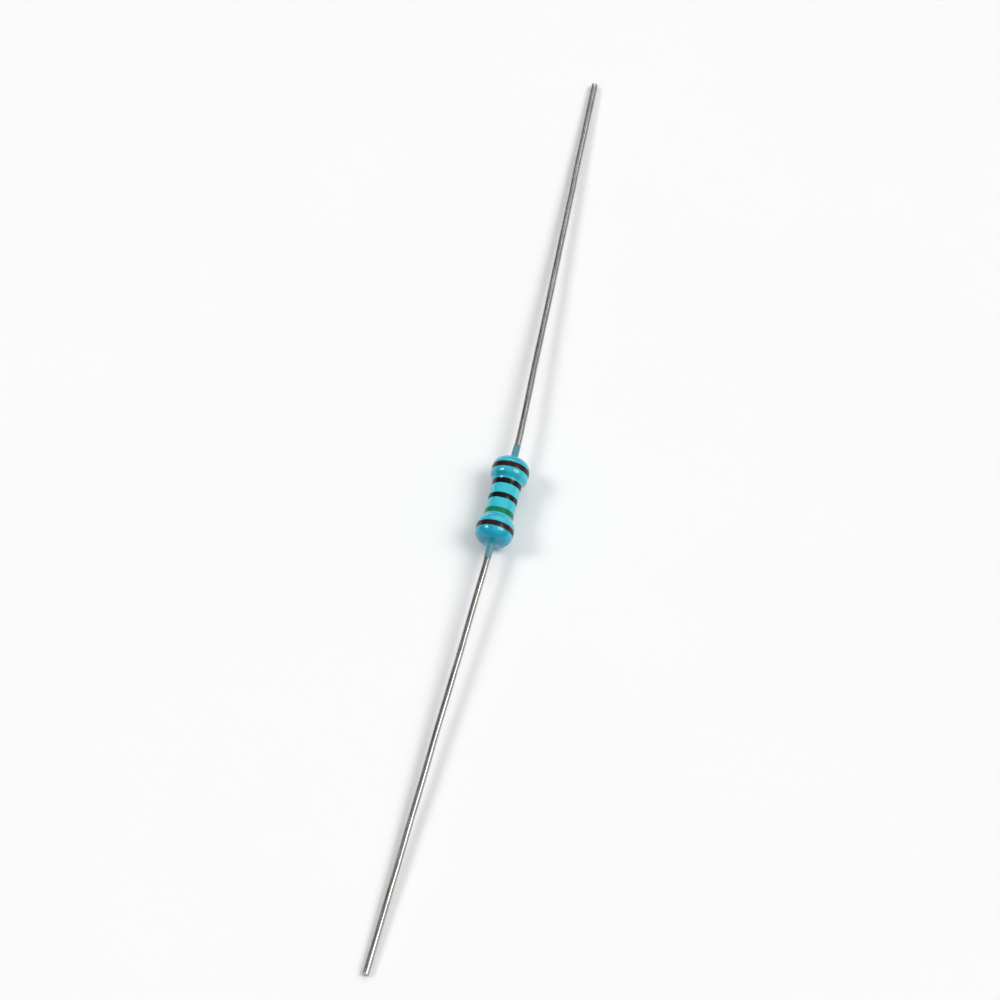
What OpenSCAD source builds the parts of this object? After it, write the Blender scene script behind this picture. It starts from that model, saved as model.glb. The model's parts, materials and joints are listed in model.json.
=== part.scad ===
// Axial metal film resistor with five colour bands, lying on a flat surface.
// The body's axis is X, and the origin is the body's centre. The band that is read first is towards -X.

/* [Ceramic rod] */
// Diameter of the ceramic rod
rod_d = 1.5; // [1.3:0.05:1.7]
// Length of the ceramic rod
rod_l = 5; // [4.6:0.1:6]
// Rounding of the rod's two rims
rod_rim_r = 0.1; // [0.05:0.01:0.15]

/* [Metal film] */
// Thickness of the film, which is drawn far thicker than the real one
film_t = 0.02; // [0.015:0.005:0.03]
// Whole turns of the trimming groove
trim_turns = 5; // [2:1:5]
// Distance along the rod between two turns of the groove
trim_pitch = 0.4; // [0.3:0.02:0.44]
// Width of the groove
trim_w = 0.08; // [0.04:0.01:0.12]

/* [End caps] */
// Thickness of a cap's side wall
cap_wall_t = 0.22; // [0.16:0.01:0.26]
// Thickness of a cap's end
cap_end_t = 0.2; // [0.15:0.01:0.25]
// How far a cap reaches over the rod
cap_reach = 0.95; // [0.85:0.05:1.25]
// Outside rounding between a cap's wall and its end
cap_corner_r = 0.3; // [0.2:0.02:0.36]
// How far a cap's mouth is flared outwards
cap_flare = 0.04; // [0.02:0.01:0.05]
// Length of the flared mouth
cap_flare_l = 0.15; // [0.1:0.01:0.2]

/* [Leads] */
// Diameter of the lead wire
lead_d = 0.4; // [0.35:0.01:0.5]
// Length of the straight root of a lead, from the cap to the bend
lead_root_l = 1.5; // [1.4:0.1:3]
// Radius of the slight bend, to the middle of the wire
lead_bend_r = 12; // [5:1:30]
// How far the wire swells all round in the bend
bend_swell = 0.004; // [0.003:0.001:0.008]
// Length of the straight run from the bend to the tip
lead_run_l = 26.2; // [20:0.1:30]
// How far the left tip lies to the side of the body's axis
left_tip_side = 0.7; // [0.4:0.1:1.5]
// How far the right tip lies to the side of the body's axis
right_tip_side = 1.3; // [0.4:0.1:1.5]
// Chamfer that the shears leave round a tip
tip_chamfer = 0.05; // [0.02:0.01:0.08]
// Radius of the hollow weld between a lead and its cap
weld_r = 0.14; // [0.08:0.01:0.18]

/* [Lacquer] */
// Thickness of the lacquer over the film
coat_on_film_t = 0.12; // [0.06:0.01:0.15]
// Thickness of the lacquer over a cap's wall
coat_on_cap_t = 0.16; // [0.12:0.01:0.2]
// Thickness of the lacquer over a cap's end
coat_on_end_t = 0.16; // [0.12:0.01:0.3]
// Length of the rise from the waist to the crest of a bulge
shoulder_l = 0.75; // [0.45:0.01:0.85]
// How far the rise begins ahead of the cap's mouth
shoulder_lead_in = 0.5; // [0.3:0.01:0.6]
// Radius of the round end of a bulge
dome_r = 0.65; // [0.6:0.01:0.8]
// Radius of the hollow curve where the lacquer runs up the lead
meniscus_r = 0.3; // [0.2:0.01:0.4]
// How far the lacquer runs along a lead, from the cap
neck_l = 1.3; // [0.85:0.05:1.45]
// Thickness of the lacquer on the lead where the hollow curve ends
neck_t = 0.03; // [0.02:0.01:0.1]
// Thickness of the lacquer on the lead where it stops
neck_tip_t = 0.015; // [0.01:0.005:0.03]

/* [Colour bands] */
// Width of a band
band_w = 0.38; // [0.3:0.01:0.5]
// Thickness of the paint
band_t = 0.02; // [0.01:0.005:0.03]
// Distance from the end of a cap to the middle of the band over it
end_band_inset = 0.65; // [0.55:0.01:0.8]
// Distance between the middles of the three bands on the waist
waist_band_pitch = 1; // [0.9:0.01:1.05]
// How far the three bands are moved towards +X from the middle of the waist
waist_band_shift = 0.02; // [0:0.01:0.1]

/* [Hidden] */
$fn = 64;

// Largest step of an outline's round stretches, in degrees
arc_step = 6;
// Steps in one turn of the film
film_steps = 48;
// How far a cut runs past the surface that it opens
past = 0.1;
// How far the straight stretches of a wire reach into its bend
bend_overlap = 0.05;

ceramic_white = [0.93, 0.91, 0.86];
film_grey = [0.36, 0.36, 0.38];
cap_metal = [0.74, 0.74, 0.72];
lead_metal = [0.68, 0.68, 0.67];
turquoise = [0.05, 0.58, 0.68];
band_brown = [0.2, 0.07, 0.06];
band_green = [0.02, 0.42, 0.2];
band_black = [0.03, 0.03, 0.04];

rod_r = rod_d / 2;
rod_end_x = rod_l / 2;
film_end_x = rod_end_x - rod_rim_r;
film_r = rod_r + film_t;
cap_r = film_r + cap_wall_t;
cap_mouth_x = rod_end_x - cap_reach;
cap_throat_x = cap_mouth_x + cap_flare_l;
cap_face_x = rod_end_x + cap_end_t;
lead_r = lead_d / 2;

waist_r = film_r + coat_on_film_t;
bulge_r = cap_r + coat_on_cap_t;
coat_end_x = cap_face_x + coat_on_end_t;
shoulder_x = cap_mouth_x - shoulder_lead_in;
shoulder_h = bulge_r - waist_r;
// The rise is two equal arcs, one hollow and one round, that meet halfway
shoulder_r = (shoulder_h * shoulder_h + shoulder_l * shoulder_l) / (4 * shoulder_h);
shoulder_a = 2 * atan(shoulder_h / shoulder_l);

// The round end runs without a kink into the hollow curve up the lead
neck_r = lead_r + neck_t;
dome_x = coat_end_x - dome_r;
meniscus_rise = neck_r + meniscus_r - (bulge_r - dome_r);
meniscus_a = acos(meniscus_rise / (dome_r + meniscus_r));
meniscus_x = dome_x + (dome_r + meniscus_r) * sin(meniscus_a);
neck_end_x = cap_face_x + neck_l;

end_band_x = cap_face_x - end_band_inset;

// The part lies on the two bands over its bulges and on the tips of its leads
tip_drop = bulge_r + band_t - lead_r;
bend_x = cap_face_x + lead_root_l;

// Points of an arc, as [radius, station] pairs, without its first point
function arc(centre, radius, from, to) =
    let (steps = max(2, ceil(abs(to - from) / arc_step)))
    [for (i = [1:steps])
        let (a = from + (to - from) * i / steps)
        [centre[0] + radius * cos(a), centre[1] + radius * sin(a)]];

function mirrored(points) = [for (i = [len(points) - 1:-1:0]) [points[i][0], -points[i][1]]];

// Outer edge of the lacquer on the +X half of the body, from the waist to its end on the lead
coat_half = concat(
    [[waist_r, shoulder_x]],
    arc([waist_r + shoulder_r, shoulder_x], shoulder_r, 180, 180 - shoulder_a),
    arc([bulge_r - shoulder_r, shoulder_x + shoulder_l], shoulder_r, -shoulder_a, 0),
    [[bulge_r, dome_x]],
    arc([bulge_r - dome_r, dome_x], dome_r, 0, meniscus_a),
    arc([neck_r + meniscus_r, meniscus_x], meniscus_r, 180 + meniscus_a, 180),
    [[lead_r + neck_tip_t, neck_end_x]]
);
coat_edge = concat(mirrored(coat_half), coat_half);
coat_table = [for (p = coat_edge) [p[1], p[0]]];

// Outline of a cap with its inside filled up to the throat
cap_filled = concat(
    [[0, cap_throat_x], [film_r, cap_throat_x]],
    [[film_r + cap_flare, cap_mouth_x], [cap_r + cap_flare, cap_mouth_x], [cap_r, cap_throat_x]],
    [[cap_r, cap_face_x - cap_corner_r]],
    arc([cap_r - cap_corner_r, cap_face_x - cap_corner_r], cap_corner_r, 0, 90),
    [[0, cap_face_x]]
);

// Outline of the root of a lead, with the weld at its foot
root_outline = concat(
    [[0, cap_face_x], [lead_r + weld_r, cap_face_x]],
    arc([lead_r + weld_r, cap_face_x + weld_r], weld_r, 270, 180),
    [[lead_r, bend_x + bend_overlap], [0, bend_x + bend_overlap]]
);

// Outline of the straight run of a lead, from the bend to the sheared tip
run_outline = [[0, -bend_overlap], [lead_r, -bend_overlap], [lead_r, lead_run_l - tip_chamfer],
               [lead_r - tip_chamfer, lead_run_l], [0, lead_run_l]];

// Angle of the bend that takes a lead's tip off the body's axis by a distance
function bend_angle(off_axis) =
    atan2(lead_bend_r, lead_run_l) + asin((off_axis - lead_bend_r) / norm([lead_bend_r, lead_run_l]));

// Turns an outline of [radius, station] pairs about X
module turned() {
    rotate([0, 90, 0]) rotate_extrude() children();
}

module ceramic_rod() {
    rim = concat([[rod_r, rod_end_x - rod_rim_r]],
                 arc([rod_r - rod_rim_r, rod_end_x - rod_rim_r], rod_rim_r, 0, 90));
    color(ceramic_white)
        turned() polygon(concat([[0, -rod_end_x]], mirrored(rim), rim, [[0, rod_end_x]]));
}

// The film is one strip that winds along the rod between the turns of the groove, and is a
// whole sleeve under the caps. A section is a line along the rod: "low" is its end towards -X.
film_sections = (trim_turns + 1) * film_steps;
groove_last = trim_turns * film_steps;
film_inner_r = rod_r / cos(180 / film_steps);

function groove_x(section) = trim_pitch * (section / film_steps - trim_turns / 2);
function film_low(section) = section < film_steps ? -film_end_x : groove_x(section - film_steps) + trim_w / 2;
function film_high(section) = section > groove_last ? film_end_x : groove_x(section) - trim_w / 2;
function film_point(section, x, r) =
    let (a = 360 * section / film_steps) [x, r * cos(a), r * sin(a)];
function low(section, shell) = 4 * section + shell;
function high(section, shell) = 4 * section + 2 + shell;
function reversed(face) = [for (i = [len(face) - 1:-1:0]) face[i]];

// The strip's surface between two sections. At the groove's two blunt ends, the strip also
// meets the part of itself that has no groove beside it.
function film_panel(s, shell) =
    s + 1 == film_steps
        ? [high(s, shell), high(s + 1, shell), low(s + 1, shell),
           high(0, shell), low(0, shell), low(s, shell)]
    : s == groove_last
        ? [low(s + 1, shell), low(s, shell), high(s, shell), low(film_sections, shell),
           high(film_sections, shell), high(s + 1, shell)]
    : [low(s, shell), high(s, shell), high(s + 1, shell), low(s + 1, shell)];

function film_low_wall(s) =
    let (next = s + 1 == film_steps ? 0 : s + 1)
    [low(s, 0), low(s, 1), low(next, 1), low(next, 0)];

function film_high_wall(s) =
    let (from = s == groove_last ? film_sections : s)
    [high(from, 0), high(s + 1, 0), high(s + 1, 1), high(from, 1)];

module metal_film() {
    points = [for (s = [0:film_sections], x = [film_low(s), film_high(s)], r = [film_inner_r, film_r])
        film_point(s, x, r)];
    strip = [for (s = [0:film_sections - 1])
        each [film_panel(s, 1), reversed(film_panel(s, 0)), film_low_wall(s), film_high_wall(s)]];
    groove_ends = [
        [high(0, 0), high(0, 1), low(film_steps, 1), low(film_steps, 0)],
        [high(groove_last, 0), low(film_sections, 0), low(film_sections, 1), high(groove_last, 1)]
    ];
    color(film_grey) polyhedron(points, concat(strip, groove_ends));
}

module end_cap() {
    color(cap_metal) turned() difference() {
        polygon(cap_filled);
        translate([0, cap_mouth_x - past]) square([film_r, cap_reach + past]);
    }
}

// A lead bends down and to one side, until its tip touches the surface that the body lies on
module lead(tip_side) {
    bend_a = bend_angle(norm([tip_drop, tip_side]));
    color(lead_metal) {
        turned() polygon(root_outline);
        rotate([atan2(tip_side, tip_drop), 0, 0]) translate([bend_x, 0, -lead_bend_r]) {
            rotate([0, -90, -90]) rotate_extrude(angle = bend_a)
                translate([lead_bend_r, 0]) circle(r = lead_r + bend_swell);
            rotate([0, bend_a, 0]) translate([0, 0, lead_bend_r]) turned() polygon(run_outline);
        }
    }
}

module lacquer_coat() {
    color(turquoise) turned() difference() {
        polygon(concat([[0, -neck_end_x]], coat_edge, [[0, neck_end_x]]));
        translate([0, -cap_throat_x - past]) square([film_r, 2 * (cap_throat_x + past)]);
        for (end = [0, 1]) mirror([0, end]) {
            polygon(cap_filled);
            polygon(root_outline);
        }
    }
}

// A ring of paint that follows the lacquer under it
module band(x, paint) {
    from = x - band_w / 2;
    to = x + band_w / 2;
    stations = concat([from], [for (p = coat_table) if (p[0] > from && p[0] < to) p[0]], [to]);
    under = [for (s = stations) [lookup(s, coat_table), s]];
    over = [for (p = under) [p[0] + band_t, p[1]]];
    color(paint) turned() polygon(concat(under, reversed(over)));
}

ceramic_rod();
metal_film();
mirror([1, 0, 0]) end_cap();  // left_end_cap
end_cap();  // right_end_cap
mirror([1, 0, 0]) lead(left_tip_side);  // left_lead
lead(right_tip_side);  // right_lead
lacquer_coat();
band(-end_band_x, band_brown);  // first_digit_band
band(waist_band_shift - waist_band_pitch, band_green);  // second_digit_band
band(waist_band_shift, band_black);  // third_digit_band
band(waist_band_shift + waist_band_pitch, band_black);  // multiplier_band
band(end_band_x, band_brown);  // tolerance_band
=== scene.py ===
# An axial metal film resistor that lies on a pale floor: the looks of each of its pieces.
import bisect
import json
import math

import bmesh
import bpy
from mathutils import Matrix, Vector, noise
from mathutils.geometry import interpolate_bezier


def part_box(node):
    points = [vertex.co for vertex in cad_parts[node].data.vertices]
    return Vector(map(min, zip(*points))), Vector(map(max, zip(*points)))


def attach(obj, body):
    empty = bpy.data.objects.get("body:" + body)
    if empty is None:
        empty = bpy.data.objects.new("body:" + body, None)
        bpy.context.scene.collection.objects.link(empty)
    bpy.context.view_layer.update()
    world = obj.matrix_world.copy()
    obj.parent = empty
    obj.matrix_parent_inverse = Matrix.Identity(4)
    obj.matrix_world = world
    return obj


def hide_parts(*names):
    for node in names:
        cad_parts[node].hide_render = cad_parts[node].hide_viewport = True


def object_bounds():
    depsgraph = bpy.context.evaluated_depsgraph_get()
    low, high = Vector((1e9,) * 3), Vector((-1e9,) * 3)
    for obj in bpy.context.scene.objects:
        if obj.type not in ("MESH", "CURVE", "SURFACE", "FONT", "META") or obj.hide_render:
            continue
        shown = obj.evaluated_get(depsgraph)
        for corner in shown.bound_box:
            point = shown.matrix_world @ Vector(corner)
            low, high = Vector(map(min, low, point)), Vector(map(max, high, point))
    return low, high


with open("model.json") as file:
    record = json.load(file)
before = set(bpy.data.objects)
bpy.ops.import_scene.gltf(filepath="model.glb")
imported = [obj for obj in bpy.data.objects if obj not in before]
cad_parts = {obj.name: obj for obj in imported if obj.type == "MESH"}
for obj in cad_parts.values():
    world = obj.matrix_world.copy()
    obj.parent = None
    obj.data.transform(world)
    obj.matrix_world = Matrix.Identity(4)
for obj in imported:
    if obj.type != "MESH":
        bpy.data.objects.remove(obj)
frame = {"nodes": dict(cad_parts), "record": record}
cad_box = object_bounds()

MM = 0.001

# Stations along the body's axis, and the mounts of the leads, from the frame
CAP_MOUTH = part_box("right_end_cap")[0].x
CAP_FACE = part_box("right_end_cap")[1].x
NECK_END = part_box("lacquer_coat")[1].x
MOUNTS = {mount["name"]: mount for mount in frame["record"]["mounts"]}

# Metal inside the body
FILM_R = 0.77 * MM
CAP_WALL_T = 0.22 * MM
CAP_CORNER_R = 0.3 * MM
CAP_FLARE = 0.04 * MM
CAP_FLARE_L = 0.15 * MM
LEAD_R = MOUNTS["left_lead_wire"]["dims"]["r_mm"] * MM
WELD_R = 0.14 * MM

# Form of the lacquer
WAIST_R = FILM_R + 0.12 * MM
CAP_R = FILM_R + CAP_WALL_T
BULGE_R = CAP_R + 0.16 * MM
SHOULDER_X = CAP_MOUTH - 0.5 * MM
SHOULDER_L = 0.75 * MM
COAT_END = CAP_FACE + 0.16 * MM
DOME_R = 0.65 * MM
MENISCUS_R = 0.3 * MM
NECK_R = LEAD_R + 0.03 * MM
NECK_TIP_R = LEAD_R + 0.015 * MM

# Unevenness that dipping leaves. Angles round the body are in radians.
DIP_UNEVEN = 0.009 * MM
DIP_LONG_WAVE = 1.7 * MM
DIP_SHORT_WAVE = 0.55 * MM
DIP_SHORT_SHARE = 0.35
DIP_LONG_SEED = 3.1
DIP_SHORT_SEED = 8.2
DIP_LEAN = 0.006 * MM
DIP_LEAN_ANGLE = 1.9
DIP_LEAN_TWIST_PER_MM = 0.35
DIP_FADE = (COAT_END - 0.1 * MM, COAT_END + 0.3 * MM)
DIP_NECK_SHARE = 0.25
NECK_UNEVEN = 0.14 * MM
NECK_UNEVEN_WAVE = 0.9 * MM
NECK_UNEVEN_ROW = 2 * MM
NECK_UNEVEN_SEED = 5.7

# Paint of the bands
BAND_T = 0.02 * MM
BAND_SINK = 0.003 * MM
BAND_TOP_R = BULGE_R + 0.75 * BAND_T
BAND_T_SHARE = 0.72
BAND_T_UNEVEN = 0.2
BAND_T_WAVE = 0.8 * MM
BAND_T_SEED_STEP = 4
BAND_WANDER = 0.018 * MM
BAND_WANDER_SHARE = 0.6
BAND_WANDER_WAVE = 0.5 * MM
OVERLAP_T = 0.12
OVERLAP_REACH = 0.22
OVERLAP_TURN = 2.4
FIRST_BAND_SEED = 1.3

# Leads
LEAD_BEND_X = CAP_FACE + 1.5 * MM
TIP_CHAMFER = 0.05 * MM
DENT_DEPTH = 0.0035 * MM
DENT_L = 0.7 * MM
DENTS_ROUND = 2
WANDER = 0.03 * MM
WANDER_START = (3 * MM, 8 * MM)
WANDER_TIP = 6 * MM
SWAY_WAVE = 5 * MM
LIFT_WAVE = 6 * MM
LIFT_SHARE = 0.4
LIFT_SEED_STEP = 7

# Cut face of a lead. The blade meets it on one side and leaves a thin burr on the other.
SHEAR_ANGLE = 0.9
SHEAR_FAR_SHARE = 0.35
SHEAR_NARROWING = 0.3
BURR = 0.02 * MM
SHEAR_RINGS = [(1, 1, 0), (0.97, 0.45, 0.5), (0.9, 0.1, 1), (0.6, 0, 1), (0.3, 0, 1), (0.02, 0, 1)]

# Fineness of the meshes, with the arcs' steps in degrees
ARC_STEP = 2.0
BORE_ARC_STEP = 6.0
STATION_STEP = 0.035 * MM
BORE_STATION_STEP = 6 * STATION_STEP
BODY_SIDES = 160
BAND_SIDES = 240
BAND_SPANS = 22
WIRE_SIDES = 48
ROOT_PARTS = 24
BEND_POINTS = 9
RUN_PARTS = 150
SHARP_ANGLE = math.radians(38)


# Outline of the body

def arc(centre, radius, start, end, step=ARC_STEP):
    """Points (along, out) of an arc, without its first. 0 degrees is straight out and 90 is towards +X."""
    steps = max(2, math.ceil(abs(end - start) / step))
    angles = [math.radians(start + (end - start) * i / steps) for i in range(1, steps + 1)]
    return [(centre[0] + radius * math.sin(a), centre[1] + radius * math.cos(a)) for a in angles]


def mirrored(points):
    """The same outline on the other side of the body's middle."""
    return [(-x, r) for x, r in reversed(points)]


def coat_outline():
    """Outer edge of the lacquer from neck to neck.

    It runs over the waist, the shoulders, the bulges, the round ends and the hollow curves up the leads.
    """
    rise = BULGE_R - WAIST_R
    shoulder_r = (rise * rise + SHOULDER_L * SHOULDER_L) / (4 * rise)
    shoulder_a = math.degrees(2 * math.atan(rise / SHOULDER_L))
    dome_x = COAT_END - DOME_R
    reach = DOME_R + MENISCUS_R
    meniscus_a = math.degrees(math.acos((NECK_R + MENISCUS_R - BULGE_R + DOME_R) / reach))
    meniscus_x = dome_x + reach * math.sin(math.radians(meniscus_a))
    half = [(SHOULDER_X, WAIST_R)]
    half += arc((SHOULDER_X, WAIST_R + shoulder_r), shoulder_r, 180, 180 - shoulder_a)
    half += arc((SHOULDER_X + SHOULDER_L, BULGE_R - shoulder_r), shoulder_r, -shoulder_a, 0)
    half += [(dome_x, BULGE_R)]
    half += arc((dome_x, BULGE_R - DOME_R), DOME_R, 0, meniscus_a)
    half += arc((meniscus_x, NECK_R + MENISCUS_R), MENISCUS_R, 180 + meniscus_a, 180)
    half += [(NECK_END, NECK_TIP_R)]
    return mirrored(half) + half


def coat_bore():
    """Inner edge of the lacquer over the metal parts, from its end on one lead to its other end."""
    corner_x = CAP_FACE - CAP_CORNER_R
    half = [(CAP_MOUTH, FILM_R), (CAP_MOUTH, CAP_R + CAP_FLARE), (CAP_MOUTH + CAP_FLARE_L, CAP_R)]
    half += [(corner_x, CAP_R)]
    half += arc((corner_x, CAP_R - CAP_CORNER_R), CAP_CORNER_R, 0, 90, BORE_ARC_STEP)
    half += [(CAP_FACE, LEAD_R + WELD_R)]
    half += arc((CAP_FACE + WELD_R, LEAD_R + WELD_R), WELD_R, 270, 180, BORE_ARC_STEP)
    half += [(NECK_END, LEAD_R)]
    return mirrored(half) + half


def evenly(points, step):
    """The same outline with points no further apart than step."""
    out = [points[0]]
    for (x0, r0), (x1, r1) in zip(points, points[1:]):
        parts = max(1, math.ceil(math.hypot(x1 - x0, r1 - r0) / step))
        out += [(x0 + (x1 - x0) * i / parts, r0 + (r1 - r0) * i / parts) for i in range(1, parts + 1)]
    return out


OUTLINE = coat_outline()
OUTLINE_X = [x for x, r in OUTLINE]


def smooth_radius(x):
    """Radius of the lacquer at a station, before the unevenness of dipping."""
    i = min(max(bisect.bisect_right(OUTLINE_X, x), 1), len(OUTLINE) - 1)
    (x0, r0), (x1, r1) = OUTLINE[i - 1], OUTLINE[i]
    return r0 + (r1 - r0) * (x - x0) / (x1 - x0)


def smoothstep(low, high, value):
    """Goes softly from 0 at low to 1 at high."""
    t = min(max((value - low) / (high - low), 0), 1)
    return t * t * (3 - 2 * t)


def ripple(x, angle, length, seed):
    """Smooth noise from -1 to 1 over the body's surface. Its waves are about as long as length."""
    place = Vector((x, WAIST_R * math.cos(angle), WAIST_R * math.sin(angle))) / length
    return noise.noise(place + Vector((seed, 0, 0)))


def dip(x, angle):
    """How far the dipped lacquer stands out from its smooth form at a place."""
    on_body = 1 - smoothstep(*DIP_FADE, abs(x))
    lean = DIP_LEAN * math.cos(angle - DIP_LEAN_ANGLE + DIP_LEAN_TWIST_PER_MM * x / MM)
    short_waves = DIP_SHORT_SHARE * ripple(x, angle, DIP_SHORT_WAVE, DIP_SHORT_SEED)
    waves = DIP_UNEVEN * (ripple(x, angle, DIP_LONG_WAVE, DIP_LONG_SEED) + short_waves)
    return on_body * (lean + waves - DIP_UNEVEN) + (1 - on_body) * DIP_NECK_SHARE * (waves - DIP_UNEVEN)


# Building of meshes

def around(x, radius, angle):
    """The point at a station and an angle round the body's axis, from +Y and turning towards +Z."""
    return Vector((x, radius * math.cos(angle), radius * math.sin(angle)))


def turns(sides):
    """The angles of the points in a ring, in radians."""
    return [2 * math.pi * i / sides for i in range(sides)]


def faces_between(rings, sides, closed):
    """Quads between neighbouring rings of points. A closed row of rings ends where it starts."""
    pairs = list(zip(range(rings), range(1, rings)))
    if closed:
        pairs.append((rings - 1, 0))
    return [
        (a * sides + i, a * sides + (i + 1) % sides, b * sides + (i + 1) % sides, b * sides + i)
        for a, b in pairs
        for i in range(sides)
    ]


def mesh_object(name, points, faces, material):
    """A smooth-shaded object whose edges stay sharp where they are sharper than a rim's."""
    mesh = bpy.data.meshes.new(name)
    mesh.from_pydata([tuple(p) for p in points], [], faces)
    mesh.validate()
    mesh.materials.append(material)
    mesh.shade_smooth()
    mesh.set_sharp_from_angle(angle=SHARP_ANGLE)
    made = bpy.data.objects.new(name, mesh)
    bpy.context.scene.collection.objects.link(made)
    return made


def closed_piece(name, points, faces, material, node):
    """A closed mesh that takes the place of a solid, with all its faces outwards."""
    piece = mesh_object(name, points, faces, material)
    work = bmesh.new()
    work.from_mesh(piece.data)
    bmesh.ops.recalc_face_normals(work, faces=work.faces)
    work.to_mesh(piece.data)
    work.free()
    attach(piece, "root")
    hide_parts(node)
    return piece


# Building of shaders

def feed(tree, node, inputs):
    """Links outputs to inputs of a node, or gives these plain values. Inputs go by name or by number."""
    for key, source in inputs.items():
        if isinstance(source, bpy.types.NodeSocket):
            tree.links.new(source, node.inputs[key])
        else:
            node.inputs[key].default_value = source


def add(tree, kind, inputs=None, **settings):
    """A new node with its settings and its inputs."""
    made = tree.nodes.new(kind)
    for name, value in settings.items():
        setattr(made, name, value)
    feed(tree, made, inputs or {})
    return made


def maths(tree, operation, *values, clamp=False):
    """The result of an operation on values or outputs."""
    made = add(tree, "ShaderNodeMath", dict(enumerate(values)), operation=operation, use_clamp=clamp)
    return made.outputs[0]


def product(tree, *values):
    """All the values or outputs multiplied."""
    result = values[0]
    for value in values[1:]:
        result = maths(tree, "MULTIPLY", result, value)
    return result


def scaled(tree, vector, factors):
    """The vector with each of its coordinates multiplied by its own factor."""
    made = add(tree, "ShaderNodeVectorMath", {0: vector, 1: factors}, operation="MULTIPLY")
    return made.outputs[0]


def coordinates(tree, vector):
    """The three outputs of a vector."""
    return add(tree, "ShaderNodeSeparateXYZ", {0: vector}).outputs


def clouds(tree, place, scale, detail=3.0, roughness=0.55):
    """Noise from 0 to 1, with about as many patches to a unit of place as scale says."""
    inputs = {"Vector": place, "Scale": scale, "Detail": detail, "Roughness": roughness}
    return add(tree, "ShaderNodeTexNoise", inputs).outputs["Fac"]


def mapped(tree, value, from_low, from_high, to_low=0.0, to_high=1.0):
    """The value moved from one range to another, with a soft start and end."""
    inputs = {
        "Value": value,
        "From Min": from_low,
        "From Max": from_high,
        "To Min": to_low,
        "To Max": to_high,
    }
    return add(tree, "ShaderNodeMapRange", inputs, interpolation_type="SMOOTHSTEP").outputs["Result"]


def spread(tree, mask, low, high):
    """A value that goes from low to high as the mask goes from 0 to 1."""
    return mapped(tree, mask, 0.0, 1.0, low, high)


def blended(tree, amount, first, second):
    """A colour between the first and the second."""
    made = add(tree, "ShaderNodeMix", {"Factor": amount, 6: first, 7: second}, data_type="RGBA")
    return made.outputs[2]


def bump(tree, height, distance):
    """The normals of a relief of that height, whose full range is distance deep."""
    inputs = {"Height": height, "Distance": distance, "Strength": 1.0}
    return add(tree, "ShaderNodeBump", inputs).outputs["Normal"]


def new_group(name, inputs, outputs):
    """An empty shader group with named sockets, and its two end nodes."""
    tree = bpy.data.node_groups.new(name, "ShaderNodeTree")
    for label, kind, value in inputs:
        socket = tree.interface.new_socket(name=label, in_out="INPUT", socket_type=kind)
        if value is not None:
            socket.default_value = value
    for label in outputs:
        tree.interface.new_socket(name=label, in_out="OUTPUT", socket_type=FLOAT)
    return tree, tree.nodes.new("NodeGroupInput").outputs, tree.nodes.new("NodeGroupOutput")


def use(tree, group, **inputs):
    """The outputs of a placed group. An underscore in an input's name stands for a space."""
    named = {name.replace("_", " "): source for name, source in inputs.items()}
    return add(tree, "ShaderNodeGroup", named, node_tree=group).outputs


def new_material(name):
    """A material with its Principled shader, and the place on the object in millimetres."""
    material = bpy.data.materials.new(name)
    material.use_nodes = True
    tree = material.node_tree
    place = add(tree, "ShaderNodeTexCoord").outputs["Object"]
    return material, tree, tree.nodes["Principled BSDF"], in_millimetres(tree, place)


def in_millimetres(tree, vector):
    """A vector in metres, turned into millimetres."""
    return scaled(tree, vector, (1 / MM, 1 / MM, 1 / MM))


# Groups that several materials share. Scales are to a millimetre.

FLOAT, VECTOR = "NodeSocketFloat", "NodeSocketVector"
PIT_CELLS = 2.6
PIT_REACH = 0.085
PITTED_CELLS = (0.6, 0.62)
MOTTLE_RANGE = (0.3, 0.7)
STREAK_RANGE = (0.34, 0.66)
STREAK_FINENESS = 3.3
STREAK_FINE_SHARE = 0.4


def skin_group():
    """Surface of a coat that has flowed out and dried: long waves, orange peel and a few pinholes."""
    inputs = [
        ("Place", VECTOR, None),
        ("Wave", FLOAT, 2.0),
        ("Peel", FLOAT, 9.0),
        ("Peel share", FLOAT, 0.3),
        ("Pinholes", FLOAT, 0.3),
    ]
    tree, given, out = new_group("flowed skin", inputs, ["Height", "Pinhole mask"])
    waves = clouds(tree, given["Place"], given["Wave"], detail=1.0)
    peel = clouds(tree, given["Place"], given["Peel"], detail=1.5)
    cells = add(tree, "ShaderNodeTexVoronoi", {"Vector": given["Place"], "Scale": PIT_CELLS}).outputs
    pit = mapped(tree, cells["Distance"], 0.0, PIT_REACH, 1.0, 0.0)
    cell_value = add(tree, "ShaderNodeSeparateColor", {0: cells["Color"]}).outputs[0]
    mask = product(tree, pit, mapped(tree, cell_value, *PITTED_CELLS), given["Pinholes"])
    height = maths(tree, "ADD", waves, product(tree, peel, given["Peel share"]))
    feed(tree, out, {"Height": maths(tree, "SUBTRACT", height, mask), "Pinhole mask": mask})
    return tree


def mottle_group():
    """Uneven colour in two sizes of patch, from 0 to 1."""
    inputs = [
        ("Place", VECTOR, None),
        ("Patches", FLOAT, 1.0),
        ("Grain", FLOAT, 12.0),
        ("Grain share", FLOAT, 0.3),
    ]
    tree, given, out = new_group("mottle", inputs, ["Amount"])
    large = mapped(tree, clouds(tree, given["Place"], given["Patches"]), *MOTTLE_RANGE)
    small = clouds(tree, given["Place"], given["Grain"], detail=4.0)
    large_share = maths(tree, "SUBTRACT", 1.0, given["Grain share"])
    fine = product(tree, small, given["Grain share"])
    feed(tree, out, {"Amount": maths(tree, "ADD", product(tree, large, large_share), fine, clamp=True)})
    return tree


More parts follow.
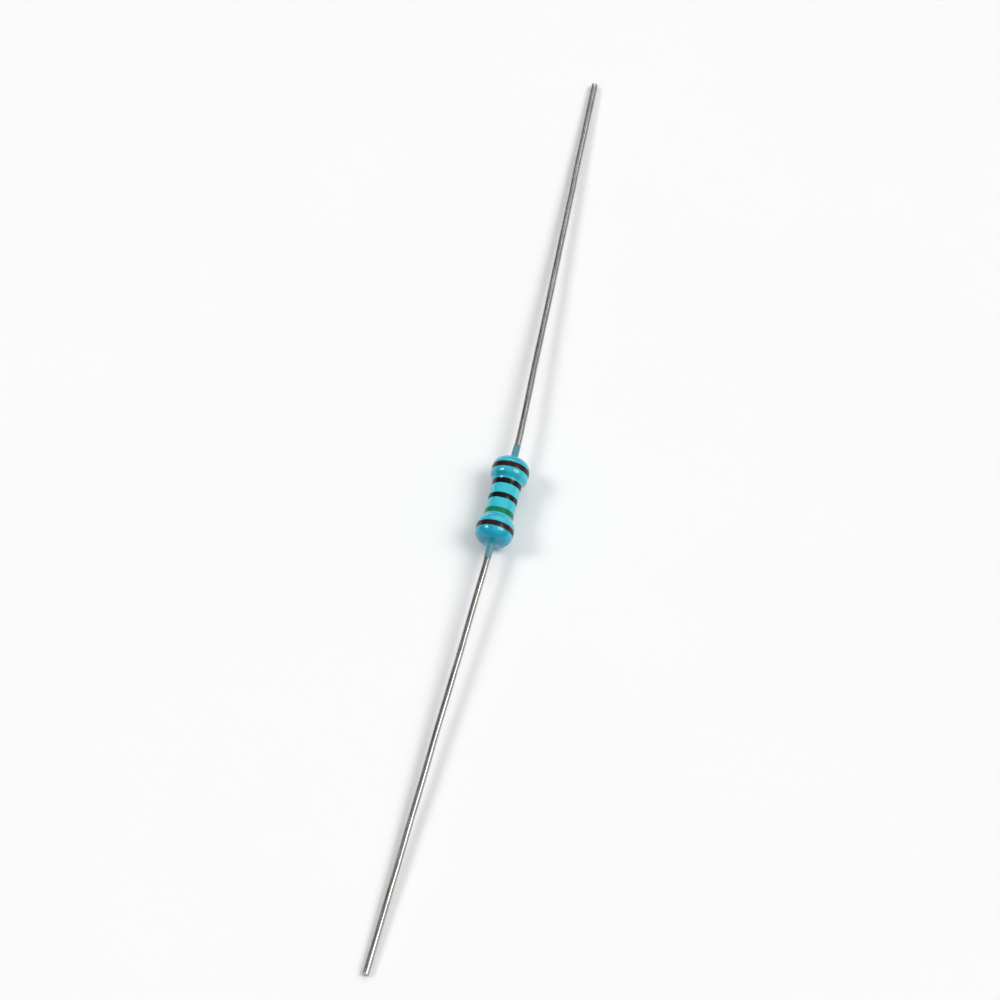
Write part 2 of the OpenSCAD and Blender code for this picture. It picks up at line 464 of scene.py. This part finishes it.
def streak_group():
    """Fine lines that run along the first coordinate, as a die or a brush leaves them."""
    inputs = [("Place", VECTOR, None), ("Along", FLOAT, 0.25), ("Across", FLOAT, 14.0)]
    tree, given, out = new_group("drawn streaks", inputs, ["Streaks", "Height"])
    stretch = {0: given["Along"], 1: given["Across"], 2: given["Across"]}
    place = scaled(tree, given["Place"], add(tree, "ShaderNodeCombineXYZ", stretch).outputs[0])
    coarse = product(tree, clouds(tree, place, 1.0, detail=2.0), 1 - STREAK_FINE_SHARE)
    fine = product(tree, clouds(tree, place, STREAK_FINENESS, detail=2.0), STREAK_FINE_SHARE)
    both = maths(tree, "ADD", coarse, fine)
    feed(tree, out, {"Streaks": mapped(tree, both, *STREAK_RANGE), "Height": both})
    return tree


SKIN = skin_group()
MOTTLE = mottle_group()
STREAKS = streak_group()

# Turquoise lacquer: colours, and where along the body it is thin over the rims, paler on the waist as a
# painted sheen, and deeper on the round ends where it pooled and where shade is painted

LACQUER_DEEP = (0.004, 0.3, 0.45, 1)
LACQUER_FULL = (0.03, 0.55, 0.65, 1)
# Paler tint: thin lacquer over the rims of the caps, and a painted sheen on the waist
LACQUER_THIN_AND_SHEEN = (0.065, 0.65, 0.74, 1)
# Deeper tints of the round ends and of their feet: partly pooled lacquer, partly painted shade
LACQUER_DOME_POOL_AND_SHADE = (0.001, 0.35, 0.62, 1)
LACQUER_FOOT_POOL_AND_SHADE = (0.001, 0.35, 0.49, 1)
LACQUER_NECK = (0.09, 0.28, 0.325, 1)
LACQUER_TIP = (0.15, 0.235, 0.235, 1)
LACQUER_PIT = (0.002, 0.12, 0.2, 1)
LACQUER_PIT_SHARE = 0.8
LACQUER_ROUGHNESS = (0.24, 0.36)
LACQUER_RELIEF = 0.009 * MM
# Painted sheen: the waist is made paler towards its middle, as a broad soft reflection would make it
WAIST_SHEEN_SHARE = 0.5
WAIST_SHEEN = (SHOULDER_X, SHOULDER_X + 0.5 * SHOULDER_L)
RIM_THIN_SHARE = 0.35
RIM_THIN_START = (CAP_MOUTH - 0.1 * MM, CAP_MOUTH + 0.1 * MM)
RIM_THIN_END = (CAP_MOUTH + 0.15 * MM, CAP_MOUTH + 0.55 * MM)
# Darker towards the ends: partly pooled lacquer, partly painted shade on the round ends and their feet
DOME_POOL_AND_SHADE_SHARE = 0.8
DOME_POOL_AND_SHADE = (COAT_END - DOME_R, COAT_END + 0.1 * MM)
FOOT_POOL_AND_SHADE_SHARE = 0.7
FOOT_POOL_AND_SHADE = (COAT_END - 0.35 * MM, COAT_END)
NECK_GREY_RADII = (LEAD_R, NECK_R + 0.5 * MENISCUS_R)
TIP_GREY = (NECK_END - 0.35 * MM, NECK_END - 0.05 * MM)


def lacquer_material():
    """Dipped lacquer, paler where it is thin over the rims and where a sheen is painted on the waist, and
    deeper on the round ends.

    It is thin over the rims of the caps. The waist is made paler as a painted sheen. The round ends are
    deeper where the lacquer pooled and where shade is painted, and the necks are greyed by the metal under
    them.
    """
    material, tree, shader, place = new_material("turquoise lacquer")
    mottle = use(tree, MOTTLE, Place=place, Patches=0.9, Grain=7.0, Grain_share=0.25)["Amount"]
    skin = use(tree, SKIN, Place=place, Wave=1.6, Peel=7.5, Peel_share=0.22, Pinholes=0.5)
    x, y, z = coordinates(tree, place)
    along = maths(tree, "ABSOLUTE", x)
    squares = maths(tree, "ADD", maths(tree, "POWER", y, 2.0), maths(tree, "POWER", z, 2.0))
    radius = maths(tree, "SQRT", squares)

    def between(value, ends, low=0.0, high=1.0):
        """Goes from low to high as the value passes from one of two distances in metres to the other."""
        return mapped(tree, value, ends[0] / MM, ends[1] / MM, low, high)

    over_rim = product(tree, between(along, RIM_THIN_START), between(along, RIM_THIN_END, 1.0, 0.0))
    layers = [
        # painted sheen on the waist, then the real thinning over the rims
        (between(along, WAIST_SHEEN, WAIST_SHEEN_SHARE, 0.0), LACQUER_THIN_AND_SHEEN),
        (product(tree, over_rim, RIM_THIN_SHARE), LACQUER_THIN_AND_SHEEN),
        # pooled lacquer and painted shade on the round ends and their feet
        (between(along, DOME_POOL_AND_SHADE, 0.0, DOME_POOL_AND_SHADE_SHARE), LACQUER_DOME_POOL_AND_SHADE),
        (between(along, FOOT_POOL_AND_SHADE, 0.0, FOOT_POOL_AND_SHADE_SHARE), LACQUER_FOOT_POOL_AND_SHADE),
        (between(radius, NECK_GREY_RADII, 1.0, 0.0), LACQUER_NECK),
        (between(along, TIP_GREY), LACQUER_TIP),
        (product(tree, skin["Pinhole mask"], LACQUER_PIT_SHARE), LACQUER_PIT),
    ]
    colour = blended(tree, mottle, LACQUER_DEEP, LACQUER_FULL)
    for amount, tint in layers:
        colour = blended(tree, amount, colour, tint)
    feed(tree, shader, {
        "Base Color": colour,
        "Roughness": spread(tree, mottle, *LACQUER_ROUGHNESS),
        "Specular IOR Level": 0.05,
        "Coat Weight": 1.0,
        "Coat IOR": 1.5,
        "Coat Roughness": 0.08,
        "Normal": bump(tree, skin["Height"], LACQUER_RELIEF),
    })
    return material


# Paint of the bands: colours, and its thin edges. Edge distances are in millimetres.

BROWN, BROWN_PALE = (0.02, 0.0055, 0.0065, 1), (0.047, 0.0135, 0.0135, 1)
GREEN, GREEN_PALE = (0.001, 0.168, 0.062, 1), (0.008, 0.26, 0.11, 1)
BLACK, BLACK_PALE = (0.0015, 0.0015, 0.003, 1), (0.008, 0.008, 0.011, 1)
PAINT_EDGE_INSIDE = 0.035
PAINT_EDGE_OUTSIDE = 0.02
PAINT_EDGE_RAGGED = 0.03
PAINT_EDGE_SHARE = 0.6
PAINT_BRUSHED = (22.0, 0.6, 0.6)
PAINT_BRUSHED_RANGE = (0.3, 0.7)
PAINT_BRUSHED_HEIGHT = 0.35
PAINT_ROUGHNESS = (0.26, 0.42)
PAINT_RELIEF = 0.007 * MM


def paint_material(name, node, colour, pale):
    """A ring of paint, thinner at its two edges, where the lacquer under it shows through."""
    material, tree, shader, place = new_material(name)
    low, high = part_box(node)
    middle = (low.x + high.x) / 2 / MM
    half = (high.x - low.x) / 2 / MM
    mottle = use(tree, MOTTLE, Place=place, Patches=2.2, Grain=16.0, Grain_share=0.35)["Amount"]
    skin = use(tree, SKIN, Place=place, Wave=3.0, Peel=11.0, Peel_share=0.35, Pinholes=0.25)
    lines = clouds(tree, scaled(tree, place, PAINT_BRUSHED), 1.0, detail=2.0)
    off_middle = maths(tree, "ABSOLUTE", maths(tree, "SUBTRACT", coordinates(tree, place)[0], middle))
    ragged = product(tree, maths(tree, "SUBTRACT", mottle, 0.5), PAINT_EDGE_RAGGED)
    off_middle = maths(tree, "ADD", off_middle, ragged)
    edge_ends = (half - PAINT_EDGE_INSIDE, half + PAINT_EDGE_OUTSIDE)
    edge = mapped(tree, off_middle, *edge_ends, 0.0, PAINT_EDGE_SHARE)
    body = blended(tree, product(tree, mottle, lines), colour, pale)
    height = maths(tree, "ADD", skin["Height"], product(tree, lines, PAINT_BRUSHED_HEIGHT))
    feed(tree, shader, {
        "Base Color": blended(tree, edge, body, LACQUER_DEEP),
        "Roughness": mapped(tree, lines, *PAINT_BRUSHED_RANGE, *PAINT_ROUGHNESS),
        "Specular IOR Level": 0.1,
        "Coat Weight": 0.35,
        "Coat Roughness": 0.12,
        "Normal": bump(tree, height, PAINT_RELIEF),
    })
    return material


# Tinned wire: colours, and how its marks are stretched along it and round it

TIN_DARK, TIN_BRIGHT = (0.33, 0.315, 0.3, 1), (0.69, 0.67, 0.64, 1)
TIN_DULL = (0.25, 0.235, 0.22, 1)
TIN_DULL_SHARE = 0.55
COPPER_DARK, COPPER_PALE = (0.5, 0.34, 0.26, 1), (0.7, 0.54, 0.45, 1)
COPPER_SHARE = 0.85
PATCHES_STRETCHED = (0.8, 3.0, 3.0)
SHEAR_STRETCHED = (1.0, 38.0, 5.0)
SHEAR_RANGE = (0.35, 0.65)
SHEAR_HEIGHT = 1.6
DIPS_STRETCHED = (1.0, 1.6, 1.6)
DIPS_SCALE = 2.4
DIE_LINE_HEIGHT = 0.25
TIN_ROUGHNESS = (0.15, 0.3)
SHEAR_ROUGHER = 0.15
TIN_RELIEF = 0.006 * MM
ALONG_WIRE, SHEARED = "along the wire", "sheared"


def tin_material():
    """Tinned wire: die lines along it, duller patches, and a bare sheared end of a coppery colour."""
    material, tree, shader, place = new_material("tinned wire")
    wire = add(tree, "ShaderNodeAttribute", attribute_name=ALONG_WIRE).outputs["Vector"]
    wire = in_millimetres(tree, wire)
    cut = add(tree, "ShaderNodeAttribute", attribute_name=SHEARED).outputs["Fac"]
    lines = use(tree, STREAKS, Place=wire, Along=0.35, Across=11.0)
    stretched = scaled(tree, wire, PATCHES_STRETCHED)
    patches = use(tree, MOTTLE, Place=stretched, Patches=1.0, Grain=9.0, Grain_share=0.4)["Amount"]
    shear_lines = clouds(tree, scaled(tree, wire, SHEAR_STRETCHED), 1.0, detail=2.0)
    dips = clouds(tree, scaled(tree, wire, DIPS_STRETCHED), DIPS_SCALE, detail=2.0)
    tin = blended(tree, lines["Streaks"], TIN_DARK, TIN_BRIGHT)
    tin = blended(tree, product(tree, patches, TIN_DULL_SHARE), tin, TIN_DULL)
    copper = blended(tree, mapped(tree, shear_lines, *SHEAR_RANGE), COPPER_DARK, COPPER_PALE)
    rougher = product(tree, cut, SHEAR_ROUGHER)
    height = maths(tree, "ADD", product(tree, lines["Height"], DIE_LINE_HEIGHT), dips)
    height = maths(tree, "ADD", height, product(tree, cut, shear_lines, SHEAR_HEIGHT))
    feed(tree, shader, {
        "Base Color": blended(tree, product(tree, cut, COPPER_SHARE), tin, copper),
        "Metallic": 1.0,
        "Roughness": maths(tree, "ADD", spread(tree, patches, *TIN_ROUGHNESS), rougher),
        "Normal": bump(tree, height, TIN_RELIEF),
    })
    return material


# Solids inside the lacquer, and the floor

CAP_DARK, CAP_BRIGHT = (0.42, 0.42, 0.4, 1), (0.66, 0.66, 0.64, 1)
CAP_TURNED = (40.0, 1.0, 1.0)
CAP_ROUGHNESS = (0.25, 0.42)
FILM_DARK, FILM_BRIGHT = (0.12, 0.12, 0.14, 1), (0.27, 0.26, 0.27, 1)
FILM_ROUGHNESS = (0.35, 0.55)
CERAMIC_DARK, CERAMIC_PALE = (0.74, 0.71, 0.64, 1), (0.88, 0.86, 0.8, 1)
CERAMIC_SPECK = (0.4, 0.36, 0.3, 1)
CERAMIC_ROUGHNESS = (0.55, 0.75)
SOLID_RELIEF = 0.004 * MM
CARD_DARK, CARD_PALE = (0.925, 0.925, 0.925, 1), (0.94, 0.94, 0.94, 1)


def cap_material():
    """Pressed steel with a tin coat: turned lines round it and a soft mottle."""
    material, tree, shader, place = new_material("tinned cap")
    mottle = use(tree, MOTTLE, Place=place, Patches=2.0, Grain=20.0, Grain_share=0.4)["Amount"]
    lines = use(tree, STREAKS, Place=scaled(tree, place, CAP_TURNED), Along=1.0, Across=1.0)
    feed(tree, shader, {
        "Base Color": blended(tree, mottle, CAP_DARK, CAP_BRIGHT),
        "Metallic": 1.0,
        "Roughness": spread(tree, lines["Streaks"], *CAP_ROUGHNESS),
        "Normal": bump(tree, lines["Height"], SOLID_RELIEF),
    })
    return material


def film_material():
    """Dark evaporated metal over the grain of the ceramic under it."""
    material, tree, shader, place = new_material("metal film")
    mottle = use(tree, MOTTLE, Place=place, Patches=3.0, Grain=40.0, Grain_share=0.6)["Amount"]
    feed(tree, shader, {
        "Base Color": blended(tree, mottle, FILM_DARK, FILM_BRIGHT),
        "Metallic": 1.0,
        "Roughness": spread(tree, mottle, *FILM_ROUGHNESS),
        "Normal": bump(tree, mottle, SOLID_RELIEF),
    })
    return material


def ceramic_material():
    """Fired alumina with a fine grain and a few darker specks."""
    material, tree, shader, place = new_material("fired ceramic")
    mottle = use(tree, MOTTLE, Place=place, Patches=4.0, Grain=45.0, Grain_share=0.5)["Amount"]
    specks = use(tree, SKIN, Place=place, Wave=8.0, Peel=45.0, Peel_share=0.8, Pinholes=1.0)
    body = blended(tree, mottle, CERAMIC_DARK, CERAMIC_PALE)
    feed(tree, shader, {
        "Base Color": blended(tree, specks["Pinhole mask"], body, CERAMIC_SPECK),
        "Roughness": spread(tree, mottle, *CERAMIC_ROUGHNESS),
        "Normal": bump(tree, specks["Height"], SOLID_RELIEF),
    })
    return material


def floor_material():
    """Matt white card with a very faint tooth."""
    material, tree, shader, place = new_material("white card")
    mottle = use(tree, MOTTLE, Place=place, Patches=0.05, Grain=1.5, Grain_share=0.3)["Amount"]
    feed(tree, shader, {
        "Base Color": blended(tree, mottle, CARD_DARK, CARD_PALE),
        "Roughness": 0.8,
        "Specular IOR Level": 0.2,
    })
    return material


# Pieces

def lacquer_piece(material):
    """The dipped shell: an uneven outer skin, a thin ragged end on each lead, and its true bore."""
    outer = evenly(OUTLINE, STATION_STEP)
    inner = list(reversed(evenly(coat_bore(), BORE_STATION_STEP)))
    points = []
    for index, (x, radius) in enumerate(outer + inner):
        on_neck = smoothstep(COAT_END + MENISCUS_R, NECK_END, abs(x))
        row = math.copysign(NECK_UNEVEN_ROW, x)
        for angle in turns(BODY_SIDES):
            uneven = 0.5 + 0.5 * ripple(row, angle, NECK_UNEVEN_WAVE, NECK_UNEVEN_SEED)
            short = NECK_UNEVEN * uneven * on_neck
            proud = max(dip(x, angle), LEAD_R - radius) if index < len(outer) else 0
            points.append(around(x - math.copysign(short, x), radius + proud, angle))
    faces = faces_between(len(outer) + len(inner), BODY_SIDES, closed=True)
    closed_piece("lacquer_shell", points, faces, material, "lacquer_coat")


def band_piece(name, node, material, seed):
    """A ring of paint that a turning wheel laid on the uneven lacquer.

    Its edges wander, its flanks are round, and its start and end overlap a little.
    """
    low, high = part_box(node)
    middle, width = (low.x + high.x) / 2, high.x - low.x
    overlap_at = OVERLAP_TURN * seed
    across = [math.cos(math.pi * (1 - i / BAND_SPANS)) for i in range(BAND_SPANS + 1)]
    rings = [(True, u) for u in across] + [(False, u) for u in reversed(across[1:-1])]
    points = []
    for outside, u in rings:
        for angle in turns(BAND_SIDES):
            off_overlap = (angle - overlap_at + math.pi) % (2 * math.pi) - math.pi
            overlap = math.exp(-((off_overlap / OVERLAP_REACH) ** 2))
            wander = ripple(math.copysign(MM, u) + middle, angle, BAND_WANDER_WAVE, seed)
            half = width / 2 - BAND_WANDER * (0.5 - 0.5 * overlap)
            x = middle + u * half + abs(u) * BAND_WANDER * wander * BAND_WANDER_SHARE
            under = smooth_radius(x) + dip(x, angle)
            uneven = BAND_T_UNEVEN * ripple(x, angle, BAND_T_WAVE, seed + BAND_T_SEED_STEP)
            thick = BAND_T * (BAND_T_SHARE + uneven + OVERLAP_T * overlap)
            over = (1 - u**4) ** 0.5 * thick if outside else 0
            points.append(around(x, min(under - BAND_SINK + over, BAND_TOP_R), angle))
    faces = faces_between(len(rings), BAND_SIDES, closed=True)
    closed_piece(name, points, faces, material, node)


def lead_centreline(mount_name):
    """Points along a lead's middle: straight out of the cap, a slight bend, then the straight run."""
    mount = MOUNTS[mount_name]
    axis = Vector(mount["axis"]).normalized()
    half = mount["dims"]["length_mm"] / 2 * MM
    run_start = Vector(mount["pos_m"]) - axis * half
    tip = Vector(mount["pos_m"]) + axis * (half + TIP_CHAMFER)
    out = Vector((math.copysign(1, axis.x), 0, 0))
    foot, bend = out * CAP_FACE, out * LEAD_BEND_X
    handle = (run_start - bend).length / 3
    root = [foot.lerp(bend, i / ROOT_PARTS) for i in range(ROOT_PARTS + 1)]
    handles = (bend + out * handle, run_start - axis * handle)
    curve = interpolate_bezier(bend, *handles, run_start, BEND_POINTS)
    run = [run_start.lerp(tip, i / RUN_PARTS) for i in range(RUN_PARTS + 1)]
    return root + curve[1:] + run[1:]


def wander(across, travelled, left, seed):
    """How far a lead's middle is off its smooth line. It is straight at the foot and the tip."""
    loose = smoothstep(*WANDER_START, travelled) * smoothstep(0, WANDER_TIP, left)
    sway = noise.noise(Vector((travelled / SWAY_WAVE, seed, 0)))
    lift = noise.noise(Vector((travelled / LIFT_WAVE, seed + LIFT_SEED_STEP, 0)))
    return across * sway * WANDER * loose + Vector((0, 0, LIFT_SHARE * lift * WANDER * loose))


def side_radius(angle, travelled, left, seed):
    """Radius of a lead's side, with the weld at its foot and faint dents further out."""
    foot = max(WELD_R - travelled, 0)
    weld = WELD_R - math.sqrt(WELD_R * WELD_R - foot * foot)
    round_wire = (DENTS_ROUND * math.cos(angle), DENTS_ROUND * math.sin(angle) + seed)
    dent = 0.5 + 0.5 * noise.noise(Vector((travelled / DENT_L, *round_wire)))
    return LEAD_R + weld - DENT_DEPTH * dent * smoothstep(0, MM, left)


def shear_ring(angle, share, roll, seed):
    """Radius and height of a ring of the cut face. Its edge is rolled over more on the blade's side."""
    met = 0.5 + 0.5 * math.cos(angle - SHEAR_ANGLE - seed)
    rolled = (SHEAR_FAR_SHARE + (1 - SHEAR_FAR_SHARE) * met) * TIP_CHAMFER * roll
    return LEAD_R * share - SHEAR_NARROWING * rolled * share, -rolled - BURR * met * share


def point_values(piece, name, kind, field, values):
    """Stores values for the points of a piece, for its material to read."""
    piece.data.attributes.new(name, kind, "POINT").data.foreach_set(field, values)


def lead_piece(name, node, mount_name, material, seed):
    """A swept wire with a weld at its foot, faint waves from coiling and taping, and a sheared tip."""
    line = lead_centreline(mount_name)
    across = (line[-1] - line[-2]).cross(Vector((0, 0, 1))).normalized()
    length = sum((b - a).length for a, b in zip(line, line[1:]))
    angles = turns(WIRE_SIDES)
    points, along_wire, sheared = [], [], []

    def ring(centre, tangent, rim, travelled, cut):
        """Adds a ring of points, from each one's radius and its height along the wire."""
        side = across - tangent * across.dot(tangent)
        side.normalize()
        up = side.cross(tangent)
        for angle, (radius, height) in zip(angles, rim):
            spoke = side * math.cos(angle) + up * math.sin(angle)
            points.append(centre + spoke * radius + tangent * height)
            along_wire.extend((travelled, radius * math.cos(angle), radius * math.sin(angle) + seed * MM))
            sheared.append(cut)

    travelled = 0
    for i, centre in enumerate(line[:-1]):
        before = line[max(i - 1, 0)]
        travelled += (centre - before).length
        left = length - travelled
        rim = [(side_radius(angle, travelled, left, seed), 0) for angle in angles]
        tangent = (line[i + 1] - before).normalized()
        ring(centre + wander(across, travelled, left, seed), tangent, rim, travelled, 0)
    tangent = (line[-1] - line[-2]).normalized()
    for share, roll, cut in SHEAR_RINGS:
        rim = [shear_ring(angle, share, roll, seed) for angle in angles]
        ring(line[-1], tangent, rim, length, cut)
    rings = len(points) // WIRE_SIDES
    faces = faces_between(rings, WIRE_SIDES, closed=False)
    faces.append(tuple(reversed(range(WIRE_SIDES))))
    faces.append(tuple(range((rings - 1) * WIRE_SIDES, rings * WIRE_SIDES)))
    piece = closed_piece(name, points, faces, material, node)
    point_values(piece, ALONG_WIRE, "FLOAT_VECTOR", "vector", along_wire)
    point_values(piece, SHEARED, "FLOAT", "value", sheared)


BANDS = [
    ("band_brown_first", "first_digit_band", "brown_paint", BROWN, BROWN_PALE),
    ("band_green_second", "second_digit_band", "green_paint", GREEN, GREEN_PALE),
    ("band_black_third", "third_digit_band", "black_paint", BLACK, BLACK_PALE),
    ("band_black_multiplier", "multiplier_band", "black_paint", BLACK, BLACK_PALE),
    ("band_brown_tolerance", "tolerance_band", "brown_paint", BROWN, BROWN_PALE),
]
LEADS = [
    ("wire_left", "left_lead", "left_lead_wire", 1.0),
    ("wire_right", "right_lead", "right_lead_wire", 4.0),
]


def build_pieces():
    """The pieces that take the place of the coat, the bands and the leads."""
    lacquer_piece(lacquer_material())
    for number, (name, node, slot, colour, pale) in enumerate(BANDS):
        material = paint_material(name.replace("_", " ") + " paint", node, colour, pale)
        band_piece(name, node, material, FIRST_BAND_SEED + number)
    tin = tin_material()
    for name, node, mount_name, seed in LEADS:
        lead_piece(name, node, mount_name, tin, seed)


def finish_solids():
    """Materials for the solids inside the lacquer, which keep their own shapes."""
    cap = cap_material()
    inside = {
        "ceramic_rod": ceramic_material(),
        "metal_film": film_material(),
        "left_end_cap": cap,
        "right_end_cap": cap,
    }
    for node, material in inside.items():
        for slot in frame["nodes"][node].material_slots:
            slot.material = material


# Floor and light. The sky's ranges are of a direction's coordinates. A soft box's width is in degrees.

FLOOR_SIZE = 1.6
FLOOR_Z = cad_box[0].z
SKY_COLOUR = (0.97, 0.985, 1.0, 1)
SKY_RISE, SKY_STRENGTH = (0.0, 0.95), (0.26, 0.4)
FRONT_FLAG, FRONT_FLAG_SHARE = (-0.7, 0.3), (0.7, 1.0)
SIDE_FLAG, SIDE_FLAG_SHARE = (0.1, 0.75), (1.0, 0.3)
STRIP_LOW_EDGE, STRIP_HIGH_EDGE, STRIP_FRONT_EDGE = (0.56, 0.61), (0.67, 0.72), (0.55, 0.66)
STRIP_STRENGTH = 4.0
SOFT_BOXES = [
    ("soft box on the right", (0.14, -0.635, 0.77), 36.0, 1.62, (1.0, 0.995, 0.985)),
    ("soft box on the left", (-0.01, 0.72, 0.69), 22.0, 1.18, (1.0, 1.0, 1.0)),
]


def build_floor():
    """A wide flat card that the part lies on."""
    half = FLOOR_SIZE / 2
    square = [(-half, -half), (half, -half), (half, half), (-half, half)]
    corners = [(x, y, FLOOR_Z) for x, y in square]
    floor = mesh_object("floor", corners, [(0, 1, 2, 3)], floor_material())


def build_sky():
    """A plain sky, darker in front and on the left, with one strip of light behind the part."""
    world = bpy.data.worlds.new("studio")
    world.use_nodes = True
    tree = world.node_tree
    x, y, z = coordinates(tree, add(tree, "ShaderNodeTexCoord").outputs["Generated"])
    dome = mapped(tree, z, *SKY_RISE, *SKY_STRENGTH)
    front = mapped(tree, x, *FRONT_FLAG, *FRONT_FLAG_SHARE)
    side = mapped(tree, y, *SIDE_FLAG, *SIDE_FLAG_SHARE)
    low_edge = mapped(tree, z, *STRIP_LOW_EDGE)
    high_edge = mapped(tree, z, *STRIP_HIGH_EDGE, 1.0, 0.0)
    front_edge = mapped(tree, x, *STRIP_FRONT_EDGE)
    strip = product(tree, low_edge, high_edge, front_edge, STRIP_STRENGTH)
    strength = maths(tree, "ADD", product(tree, dome, front, side), strip)
    feed(tree, tree.nodes["Background"], {"Strength": strength, "Color": SKY_COLOUR})
    bpy.context.scene.world = world


def build_soft_boxes():
    """Distant lamps, each as wide as a soft box looks from the part."""
    for name, source, width, strength, colour in SOFT_BOXES:
        lamp = bpy.data.lights.new(name, "SUN")
        lamp.angle = math.radians(width)
        lamp.energy = strength
        lamp.color = colour
        box = bpy.data.objects.new(name, lamp)
        box.rotation_euler = Vector(source).to_track_quat("Z", "Y").to_euler()
        bpy.context.scene.collection.objects.link(box)


CAMERA_ELEVATION = math.radians(62)
CAMERA_SWING = math.radians(13.3)
CAMERA_LENS = 150
CAMERA_DISTANCE = 0.25
CAMERA_CLIP = (0.01, 20)


def build_camera():
    """Looks down along the body from the end that is read first, as the photograph does."""
    low, high = cad_box
    target = Vector(((low.x + high.x) / 2, (low.y + high.y) / 2, 0))
    level = math.cos(CAMERA_ELEVATION)
    swing = (math.cos(CAMERA_SWING), math.sin(CAMERA_SWING))
    back = Vector((-swing[0] * level, -swing[1] * level, math.sin(CAMERA_ELEVATION)))
    data = bpy.data.cameras.new("camera")
    data.lens = CAMERA_LENS
    data.clip_start, data.clip_end = CAMERA_CLIP
    camera = bpy.data.objects.new("camera", data)
    facing = back.to_track_quat("Z", "Y").to_matrix().to_4x4()
    camera.matrix_world = Matrix.Translation(target + back * CAMERA_DISTANCE) @ facing
    bpy.context.scene.collection.objects.link(camera)
    bpy.context.scene.camera = camera


bpy.context.scene.view_settings.view_transform = "Standard"
build_pieces()
finish_solids()
build_floor()
build_sky()
build_soft_boxes()
build_camera()

bpy.context.view_layer.update()
